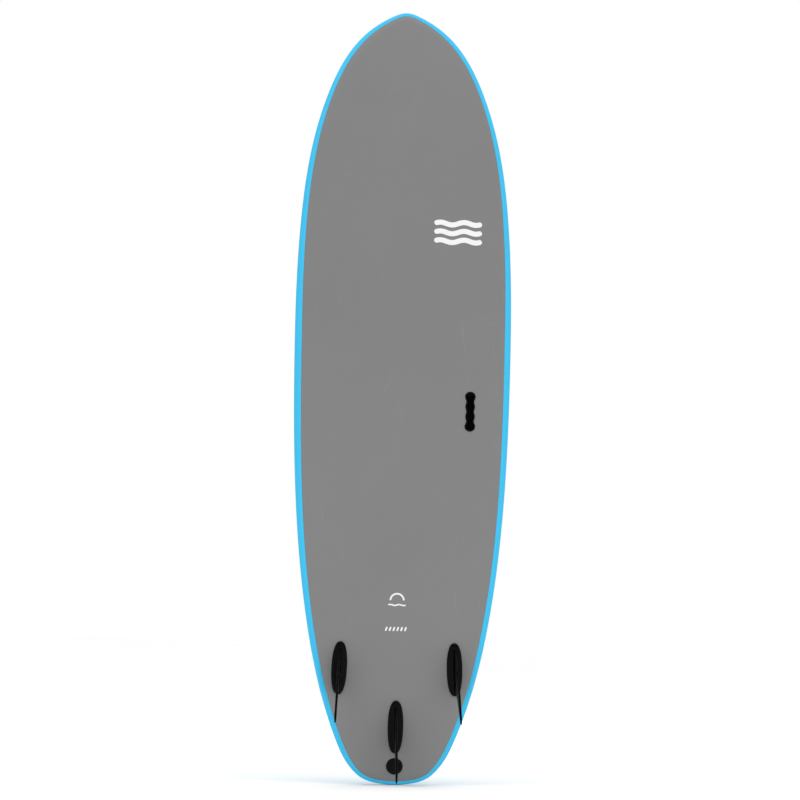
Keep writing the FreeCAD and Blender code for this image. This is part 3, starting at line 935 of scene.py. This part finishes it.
def add_deck():
    group = settings().skins
    fittings = settings().fittings
    deck, seam, soft = millimetres(group, "deck", "deck_seam", "seam_round")
    flange, stem, plug = millimetres(fittings, "cup_flange", "cup_stem", "plug_flange")
    rim = Rim(group.steps)
    rings = sheet_rings(rim, np.full(group.steps + 1, seam), deck_y, raised(deck_y, -deck), soft, 26)
    sheet = loft("deck_foam", rings, finish_of("deck_foam"))
    axes = [(place, z, flange, stem) for _, place, z in screw_axes()]
    axes.append((seat(0.0, LEASH_Z), 0.0, plug, LEASH_CUP))
    parts = []
    for place, z, wide, narrow in axes:
        depth = depth_to_deck(place, z)
        ledge = depth - FLANGE_DEPTH - PLAY
        profile = [(0, depth - 12, 0), (narrow + PLAY, depth - 12, 0), (narrow + PLAY, ledge, 0),
                   (wide + PLAY, ledge, 0), (wide + PLAY, depth + 8, 0), (0, depth + 8, 0)]
        parts.append(skin(turned(profile, place, z=z)))
    carve(sheet, shells("deck_openings", parts))
    settle(sheet, "skin_foam", "deck_skin")


# ---------------------------------------------------------------- fins and fittings


FOIL = [  # share of the chord from the front, share of the half-thickness
    (0.0, 0.0), (0.03, 0.5), (0.12, 0.86), (0.32, 1.0), (0.6, 0.97), (0.86, 0.8), (0.97, 0.5)]
OVAL_POWER = 2.35
FIN_POINTS = 96


def foil_shape():
    """Shares of the chord and of the half-thickness round a blade's section."""
    chord, half = 92.0, 3.0  # a middling section, at whose proportions the curve is smoothed
    right = [(t * half, s * chord) for s, t in FOIL]
    left = [(-x, s) for x, s in reversed(right[1:])]
    curve = Spline(right + [(0.0, chord)] + left, closed=True)
    place, _ = curve.read(np.linspace(0, curve.stops[len(right)], 3000))
    turn = np.linspace(0, 2 * np.pi, FIN_POINTS, endpoint=False)
    share = (1 - np.cos(turn)) / 2
    thick = np.interp(share, place[:, 1] / chord, place[:, 0] / half)
    return share, thick * np.where(turn > np.pi, -1.0, 1.0) * (share > 1e-9) * (share < 1 - 1e-9)


def oval_shape(inset):
    """The base's blunt oval, drawn in by inset, at the same turns as the blade's section."""
    size, width = millimetres(settings().fins, "base_length", "base_width")
    turn = np.linspace(0, 2 * np.pi, FIN_POINTS, endpoint=False)
    along = np.cos(turn)
    across = (1 - np.abs(along) ** OVAL_POWER).clip(0) ** (1 / OVAL_POWER) * np.where(turn > np.pi, -1, 1)
    across[[0, FIN_POINTS // 2]] = 0.0
    return np.stack([across * (width / 2 - inset), along * (size / 2 - inset)], axis=1)


def fin_rings(place, cant):
    """Rings from the blade's tip down to the base's underside, in the fin's own place."""
    group = settings().fins
    base, base_round, root = millimetres(group, "base_height", "base_round", "root_round")
    c, s = math.cos(cant), math.sin(cant)
    share, thick = foil_shape()
    blade = Spline(BLADE)
    rows, _ = blade.read(np.linspace(blade.end, 0, 90))

    def section(row, thin=1.0, raise_by=0.0):
        height, front, rear, thickness = row
        height += raise_by
        x, z = thick * thickness / 2 * thin, front - share * (front - rear)
        return np.stack([x * c + height * s, x * s - height * c, z], axis=1)

    rings = [section(rows[0], 0.0, 0.45), section(rows[0], 0.6, 0.35), *[section(row) for row in rows]]
    _, front, rear, thickness = rows[-1]
    foot = np.stack([thick * thickness / 2, front - share * (front - rear)], axis=1)
    along = np.roll(foot, -1, axis=0) - np.roll(foot, 1, axis=0)
    outward = np.stack([-along[:, 1], along[:, 0]], axis=1) / np.linalg.norm(along, axis=1)[:, None]
    top = base - 0.7
    for turn in np.radians(np.linspace(12, 90, 8)):
        spot = foot + outward * root * (1 - math.cos(turn))
        height = base + root * (1 - math.sin(turn))
        blend = turn / (np.pi / 2)
        y = (spot[:, 0] * s - height * c) * (1 - blend) - height * blend
        ring = np.stack([spot[:, 0] * c + height * s, y, spot[:, 1]], axis=1)
        rings.append(ring)
    inner, outer = rings[-1], oval_shape(base_round)
    for part in (0.2, 0.45, 0.7, 1.0):
        x = inner[:, 0] + (outer[:, 0] - inner[:, 0]) * part
        z = inner[:, 2] + (outer[:, 1] - inner[:, 2]) * part
        rings.append(np.stack([x, np.full(len(x), -base + (base - top) * part**2), z], axis=1))
    for turn in np.radians(np.linspace(12, 90, 8)):
        flat = oval_shape(base_round * (1 - math.sin(turn)))
        y = np.full(len(flat), -top + base_round * (1 - math.cos(turn)))
        rings.append(np.stack([flat[:, 0], y, flat[:, 1]], axis=1))
    for part in (0.0, 0.5, 1.0):
        flat = oval_shape(0.0) * [1 - part, 1 - 0.3 * part]
        rings.append(np.stack([flat[:, 0], drape(place, flat[:, 0], flat[:, 1]), flat[:, 1]], axis=1))
    return [to_board(place, ring) for ring in rings]


def add_fins():
    radius, depth = millimetres(settings().fins, "boss_radius", "boss_depth")
    for name, place, cant in fin_seats():
        fin = loft(f"fin_blade_{name}", fin_rings(place, cant), finish_of("fin_plastic"), sharp=40.0)
        bore = depth - INSERT_LENGTH
        profile = [(0, -2), (radius, -2), (radius, depth - 1), (radius - 1, depth), (INSERT_RADIUS, depth),
                   (INSERT_RADIUS, bore), (0, bore)]
        bosses = []
        for z in (-BOSS_SPACING / 2, BOSS_SPACING / 2):
            bosses.append(skin(turned([(*row, 0) for row in profile], place, z=z, count=48)))
        carve(fin, shells("bosses", bosses), "UNION", sharp=40.0)
        settle(fin, "fin_plastic", f"fin_{name}")


def screw_rings(place, z, floor, end):
    """Pan-head screw with a hexagon socket, its head on the floor of its cup."""
    head, height = millimetres(settings().fittings, "head_radius", "head_height")
    top = floor + height
    shank = [(0, end), (SCREW_RADIUS - 0.6, end), (SCREW_RADIUS, end + 0.6), (SCREW_RADIUS, floor - 0.3),
             (SCREW_RADIUS, floor), (head - 0.2, floor), (head, floor + 0.2)]
    profile = [(*row, 0) for row in shank] + arc(head - 1.4, top - 1.4, 1.4, 0, 80, 7)
    rings = turned([*profile, (head - 2.2, top, 0)], place, z=z)
    turn = np.linspace(0, 2 * np.pi, 72, endpoint=False)
    corner = math.cos(math.pi / 6) / np.cos((turn % (np.pi / 3)) - np.pi / 6)
    for radius, level in ((2.35, top), (2.15, top - 0.25), (2.15, top - 2.2), (0.0, top - 2.8)):
        x, along = radius * corner * np.cos(turn), radius * corner * np.sin(turn)
        rings.append(to_board(place, np.stack([x, np.full(72, level), along + z], axis=1)))
    return rings


def add_screws():
    recess = millimetres(settings().fittings, "cup_recess")
    depth, insert = millimetres(settings().fins, "boss_depth"), INSERT_LENGTH
    for name, place, z in screw_axes():
        floor = depth_to_deck(place, z) - recess
        piece = loft(f"screw_{name}", screw_rings(place, z, floor, depth - insert + 1), finish_of("steel"))
        fin, end = name.split("_")
        settle(piece, "steel", f"fin_screw_{fin}_{end}")


def cup_profile(deck, flange, stem, hollow, floor, under, corner):
    """Section of a flanged cup let into the deck, as a closed line that starts at its screw hole."""
    proud = millimetres(settings().fittings, "proud")
    hole = SCREW_RADIUS + CLEARANCE
    top = deck + proud
    mouth, edge = 0.6, 0.7
    profile = [(hole, under, 0), (hole, floor - 0.3, 0), (hole + 0.3, floor, 0)]
    profile += arc(hollow - corner, floor + corner, corner, -90, 0, 6)
    profile.append((hollow, top - 2.0, 1))
    profile += arc(hollow + mouth, top - mouth, mouth, 180, 90, 5, 1)
    profile.append(((hollow + flange) / 2, top, 1))
    profile += arc(flange - edge, top - edge, edge, 90, 0, 5, 1)
    ledge = deck - FLANGE_DEPTH
    profile += [(flange, deck - 0.4, 1), (flange, ledge, 0), (stem, ledge, 0), (stem, under, 0)]
    return profile + profile[:1]


def add_cups():
    flange, stem, depth, recess = millimetres(
        settings().fittings, "cup_flange", "cup_stem", "cup_depth", "cup_recess")
    for name, place, z in screw_axes():
        deck = depth_to_deck(place, z)
        profile = cup_profile(deck, flange, stem, stem - 1.8, deck - recess, deck - depth, 0.6)
        rings = turned(profile, place, deck_lean(place, z, deck), z)
        piece = loft(f"cup_{name}", rings, finish_of("black_plastic"))
        settle(piece, "black_plastic", f"screw_cup_{name}")


def add_plug():
    group = settings().fittings
    radius, height, flange, depth, bar = millimetres(
        group, "plug_disc", "plug_disc_height", "plug_flange", "plug_depth", "bar")
    place = seat(0.0, LEASH_Z)
    deck = depth_to_deck(place)
    floor = deck - depth
    under = floor - LEASH_WALL
    lean = deck_lean(place, 0.0, deck)
    bore_end = under - INSERT_LENGTH

    groove = [(0, 0.5), (3.2, 0.5), (3.9, 0), (10, 0), (10.5, 0.4), (10.9, 1.4), (14.6, 1.4), (15, 0.4),
              (15.5, 0), (radius - 2.4, 0)]
    profile = [(wide, sunk - height, 0) for wide, sunk in groove]
    profile += arc(radius - 2.2, -height + 2.2, 2.2, -82, 0, 7)
    rings = turned(profile, place, count=96)
    for wide in (radius, LEASH_STEM):
        flat = circle_ring(wide, 0.0, 96)
        flat[:, 1] = drape(place, flat[:, 0], flat[:, 2])
        rings.append(to_board(place, flat))
    stem = [
        (LEASH_STEM, under, 0), (INSERT_RADIUS, under, 0), (INSERT_RADIUS, bore_end, 0), (0, bore_end, 0)]
    rings += turned(stem, place, count=96)
    disc = loft("plug_disc", rings, finish_of("black_plastic"))
    settle(disc, "black_plastic", "leash_disc")

    profile = cup_profile(deck, flange, LEASH_CUP, LEASH_CUP - LEASH_WALL, floor, under, 3.0)
    cup = loft("plug_cup", turned(profile, place, lean, count=96), finish_of("black_plastic"))
    reach = LEASH_CUP - 1.0
    carve(cup, new_piece("bar_seat", *skin(bar_rings(place, deck - BAR_DEPTH, reach, bar + 0.02))))
    settle(cup, "black_plastic", "leash_cup")

    rod = loft("plug_bar", bar_rings(place, deck - BAR_DEPTH, reach, bar), finish_of("steel"))
    settle(rod, "steel", "leash_bar")
    screw = loft("plug_screw", screw_rings(place, 0.0, floor, bore_end + 1), finish_of("steel"))
    settle(screw, "steel", "leash_screw")


def bar_rings(place, height, reach, radius):
    """Cross bar along local X with softened ends."""
    turn = np.linspace(0, 2 * np.pi, 40, endpoint=False)
    soft = reach - 0.3
    stations = [(-reach, 0.0), (-reach, 0.8), (-soft, 1.0), (soft, 1.0), (reach, 0.8), (reach, 0.0)]
    rings = []
    for x, share in stations:
        y, z = height + radius * share * np.sin(turn), radius * share * np.cos(turn)
        rings.append(to_board(place, np.stack([np.full(40, x), y, z], axis=1)))
    return rings


def add_handle():
    group = settings().handle
    rim, lip, wall, depth, ridge = millimetres(group, "rim", "lip", "wall", "depth", "ridge")
    inner = rim + wall
    rings = [handle_ring(rim + 0.8, depth + wall, share) for share in (1, 0.5, 0)]
    rings += [handle_ring(rim, depth + wall - 0.8), handle_ring(rim, 0.0), handle_ring(0.0, 0.0)]
    rounds = arc(1.0, 1.0 - lip, 1.0, 180, 270, 6) + arc(inner - 1.0, 1.0 - lip, 1.0, -90, 0, 6)
    rounds.append((inner + 0.35, depth * 0.5, 0))
    rounds += arc(inner + 0.7 + TRAY_ROUND, depth - TRAY_ROUND, TRAY_ROUND, 180, 90, 6)
    rings += [handle_ring(inset, level) for inset, level, _ in rounds]
    for share in np.linspace(0, 1, 25)[1:]:
        ring = handle_ring(inner + 0.7 + TRAY_ROUND, depth, share)
        away = np.abs(np.abs(ring[:, 0] - HANDLE_X) - RIDGE_X)
        ends = np.clip((RIDGE_END - np.abs(ring[:, 2] - HANDLE_Z)) / RIDGE_FADE, 0, 1)
        ring[:, 1] -= ridge * np.clip(1 - (away / RIDGE_HALF) ** 2, 0, 1) * ends
        rings.append(ring)
    tray = loft("finger_tray", rings, finish_of("black_plastic"), sharp=50.0)
    settle(tray, "black_plastic", "handle_tray")


# ---------------------------------------------------------------- prints


def ribbon(line, half):
    """Thin printed strip on the slick along points of x and z, with its half-width at each."""
    line, half = np.asarray(line, float), np.asarray(half, float)
    along = np.gradient(line, axis=0)
    side = np.stack([-along[:, 1], along[:, 0]], axis=1) / np.linalg.norm(along, axis=1)[:, None]
    rings = []
    for spot, step in zip(line, side * half[:, None]):
        (ax, az), (bx, bz) = spot + step, spot - step
        over, under = -INK_HEIGHT, INK_SINK
        rings.append([
            (ax, bottom_y(az) + over, az), (bx, bottom_y(bz) + over, bz),
            (bx, bottom_y(bz) + under, bz), (ax, bottom_y(az) + under, az)])
    return skin(rings, caps=True)


def stroke(points, half):
    """Ribbon of even width with round ends along a list of points."""
    points = np.asarray(points, float)
    walked = np.concatenate([[0], np.cumsum(np.linalg.norm(np.diff(points, axis=0), axis=1))])
    total = walked[-1]
    ends = half * (1 - np.cos(np.linspace(0.15, np.pi / 2, 10)))
    at = np.concatenate([ends, np.linspace(half, total - half, 60)[1:-1], total - ends[::-1]])
    line = np.stack([np.interp(at, walked, points[:, k]) for k in (0, 1)], axis=1)
    near = np.minimum(at, total - at)
    width = half * np.sqrt(np.clip(1 - (1 - np.clip(near / half, 0, 1)) ** 2, 0.01, 1))
    return ribbon(line, width)


def wave(left, right, z, rise):
    """Points of two waves from left to right."""
    x = np.linspace(left, right, 120)
    return np.stack([x, z + rise * np.sin(4 * np.pi * (x - left) / (right - left))], axis=1)


def add_prints():
    turn = np.linspace(0, np.pi, 60)
    sun = np.stack([SUN_X + SUN_RADIUS * np.cos(turn), SUN_Z + SUN_RADIUS * np.sin(turn)], axis=1)
    sea = wave(SUN_X - 24.5, SUN_X + 24.5, SUN_Z - 12.5, 1.3)
    low, high = DASH_HEIGHTS
    marks = {
        "wave_print": [stroke(wave(*WAVE_SPAN, z, 3.6), 7.0) for z in WAVE_HEIGHTS],
        "sun_print": [stroke(sun, 2.4), stroke(sea, 2.0)],
        "dash_print": [stroke([(x - DASH_SLANT, low), (x + DASH_SLANT, high)], 2.4)
                       for x in np.linspace(*DASH_SPAN, 6)],
    }
    for name, parts in marks.items():
        settle(shells(name, parts, finish_of("ink")), "slick")


# ---------------------------------------------------------------- studio


def add_floor(group):
    radii = [0.0, 1.0, 2.5, 5.0, group.floor_radius * 0.7, group.floor_radius]
    level = CAD_BOX[0][2] / MM - 0.5
    vertices, faces = skin([circle_ring(radius / MM, level, 96)[:, [0, 2, 1]] for radius in radii])
    floor = new_piece("studio_floor", vertices, faces)
    material = bpy.data.materials.new("Matt studio floor")
    material.use_nodes = True
    tree = Tree(material.node_tree)
    place = tree.add("ShaderNodeTexCoord").outputs["Object"]
    shade = tree.spread(tree.noise(place, 1.4, 3.0), 0.3, 0.7, 0.99, 1.0)
    inputs = {0: tuple(group.floor), "Scale": shade}
    tone = tree.add("ShaderNodeVectorMath", inputs, operation="SCALE").outputs[0]
    shader = tree.nodes["Principled BSDF"]
    tree.feed(shader.inputs["Base Color"], tone)
    shader.inputs["Roughness"].default_value = 0.9
    shader.inputs["Specular IOR Level"].default_value = 0.1
    floor.data.materials.append(material)


def add_lights(group, middle):
    """Three soft panels, and a wide even light from above that has no size."""
    lights = [
        ("front_left", group.key, (-4.2, -4.6, 3.0), 3.2),
        ("front_right", group.key, (4.6, -4.2, 2.6), 3.2),
        ("deck_side", group.back, (1.5, 5.2, 3.4), 3.4),
        ("above", group.top, (0.0, -1.4, 6.2), None),
    ]
    for name, power, spot, size in lights:
        data = bpy.data.lights.new(name, "AREA" if size else "SUN")
        data.energy = power
        if size:
            data.size = size
        else:
            data.angle = math.radians(70)
        lamp = bpy.data.objects.new(name, data)
        lamp.location = spot
        lamp.rotation_euler = (middle - Vector(spot)).to_track_quat("-Z", "Y").to_euler()
        lamp.visible_camera = False
        bpy.context.scene.collection.objects.link(lamp)


def add_world(group):
    """Even light, dimmer where gloss reflects it and white behind the board."""
    world = bpy.data.worlds.new("Studio light")
    world.use_nodes = True
    sky = Tree(world.node_tree)
    path = sky.add("ShaderNodeLightPath").outputs
    change = sky.math("MULTIPLY", path["Is Glossy Ray"], group.glints - group.ambient)
    level = sky.math("MAXIMUM", sky.math("ADD", change, group.ambient), path["Is Camera Ray"])
    sky.feed(sky.nodes["Background"].inputs["Strength"], level)
    sky.nodes["Background"].inputs["Color"].default_value = (1.0, 1.0, 1.0, 1.0)
    bpy.context.scene.world = world


def add_camera(group, middle):
    data = bpy.data.cameras.new("camera")
    data.lens = group.lens
    data.sensor_width = 36.0
    data.clip_end = 100.0
    camera = bpy.data.objects.new("camera", data)
    back = Vector((math.sin(group.azimuth), -math.cos(group.azimuth), 0.0))
    up = Vector((0.0, 0.0, 1.0))
    right = up.cross(back)
    roll = Matrix.Rotation(group.roll, 3, "Z")
    axes = Matrix((right, up, back)).transposed() @ roll
    aim = middle + Vector((AIM_X, 0.0, AIM_Z)) * MM
    camera.matrix_world = Matrix.Translation(aim + back * group.distance) @ axes.to_4x4()
    bpy.context.scene.collection.objects.link(camera)
    bpy.context.scene.camera = camera


def add_stage():
    group = settings().studio
    middle = Vector((0.0, 0.0, LENGTH / 2 * MM))
    add_floor(group)
    add_lights(group, middle)
    add_world(group)
    add_camera(group, middle)
    view = bpy.context.scene.view_settings
    view.view_transform = "Standard"
    view.look = "None"


def add_core_finishes():
    """Gives the CAD parts that stay their finishes."""
    slots = {"core": "core_foam", "stringer": "plywood", "fin_insert": "brass", "leash_insert": "brass"}
    for name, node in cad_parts.items():
        for start, slot in slots.items():
            if name.startswith(start):
                node.data.materials.clear()
                node.data.materials.append(finish_of(slot))


# ---------------------------------------------------------------- operators and panel


class SURFBOARD_OT_core(bpy.types.Operator):
    """Give the foam core, the stringers and the inserts their finishes"""

    bl_idname = "surfboard.core"
    bl_label = "Core"

    def execute(self, context):
        add_core_finishes()
        return {"FINISHED"}


class SURFBOARD_OT_rails(bpy.types.Operator):
    """Wrap the foam round both edges"""

    bl_idname = "surfboard.rails"
    bl_label = "Rails"

    def execute(self, context):
        add_rails()
        return {"FINISHED"}


class SURFBOARD_OT_bottom(bpy.types.Operator):
    """Lay the backing foam and the slick on the bottom"""

    bl_idname = "surfboard.bottom"
    bl_label = "Bottom"

    def execute(self, context):
        add_bottom()
        return {"FINISHED"}


class SURFBOARD_OT_deck(bpy.types.Operator):
    """Lay the embossed foam on the deck"""

    bl_idname = "surfboard.deck"
    bl_label = "Deck"

    def execute(self, context):
        add_deck()
        return {"FINISHED"}


class SURFBOARD_OT_fins(bpy.types.Operator):
    """Mould the three fins with their bases and bosses"""

    bl_idname = "surfboard.fins"
    bl_label = "Fins"

    def execute(self, context):
        add_fins()
        return {"FINISHED"}


class SURFBOARD_OT_cups(bpy.types.Operator):
    """Let the screw cups into the deck"""

    bl_idname = "surfboard.cups"
    bl_label = "Screw cups"

    def execute(self, context):
        add_cups()
        return {"FINISHED"}


class SURFBOARD_OT_screws(bpy.types.Operator):
    """Put a screw in each cup"""

    bl_idname = "surfboard.screws"
    bl_label = "Screws"

    def execute(self, context):
        add_screws()
        return {"FINISHED"}


class SURFBOARD_OT_plug(bpy.types.Operator):
    """Fit the leash plug: disc, cup, bar and screw"""

    bl_idname = "surfboard.plug"
    bl_label = "Leash plug"

    def execute(self, context):
        add_plug()
        return {"FINISHED"}


class SURFBOARD_OT_handle(bpy.types.Operator):
    """Set the scalloped finger tray in the bottom"""

    bl_idname = "surfboard.handle"
    bl_label = "Finger tray"

    def execute(self, context):
        add_handle()
        return {"FINISHED"}


class SURFBOARD_OT_prints(bpy.types.Operator):
    """Print the plain marks on the slick"""

    bl_idname = "surfboard.prints"
    bl_label = "Prints"

    def execute(self, context):
        add_prints()
        return {"FINISHED"}


class SURFBOARD_OT_stage(bpy.types.Operator):
    """Set up the floor, the lights and the camera"""

    bl_idname = "surfboard.stage"
    bl_label = "Stage"

    def execute(self, context):
        add_stage()
        return {"FINISHED"}


OPERATORS = [
    SURFBOARD_OT_core, SURFBOARD_OT_rails, SURFBOARD_OT_bottom, SURFBOARD_OT_deck, SURFBOARD_OT_fins,
    SURFBOARD_OT_cups, SURFBOARD_OT_screws, SURFBOARD_OT_plug, SURFBOARD_OT_handle, SURFBOARD_OT_prints,
    SURFBOARD_OT_stage]


class SURFBOARD_PT_panel(bpy.types.Panel):
    """Sizes, colours and building steps of the surfboard"""

    bl_idname = "SURFBOARD_PT_panel"
    bl_label = "Surfboard"
    bl_space_type = "VIEW_3D"
    bl_region_type = "UI"
    bl_category = "Surfboard"

    def draw(self, context):
        groups = settings()
        for part in ("skins", "fins", "fittings", "handle", "colours", "studio"):
            group = getattr(groups, part)
            box = self.layout.box()
            box.label(text=part.capitalize())
            for name in group.bl_rna.properties.keys():
                if name not in ("rna_type", "name"):
                    box.prop(group, name)
        for step in OPERATORS:
            self.layout.operator(step.bl_idname)


CLASSES = [
    SurfboardSkins, SurfboardFins, SurfboardFittings, SurfboardHandle, SurfboardColours, SurfboardStudio,
    SurfboardSettings, *OPERATORS, SURFBOARD_PT_panel]


def register():
    for item in CLASSES:
        bpy.utils.register_class(item)
    bpy.types.Scene.surfboard = PointerProperty(type=SurfboardSettings)


def unregister():
    del bpy.types.Scene.surfboard
    for item in reversed(CLASSES):
        bpy.utils.unregister_class(item)


def main():
    register()
    for step in OPERATORS:
        area, name = step.bl_idname.split(".")
        getattr(getattr(bpy.ops, area), name)()


if __name__ == "__main__":
    main()
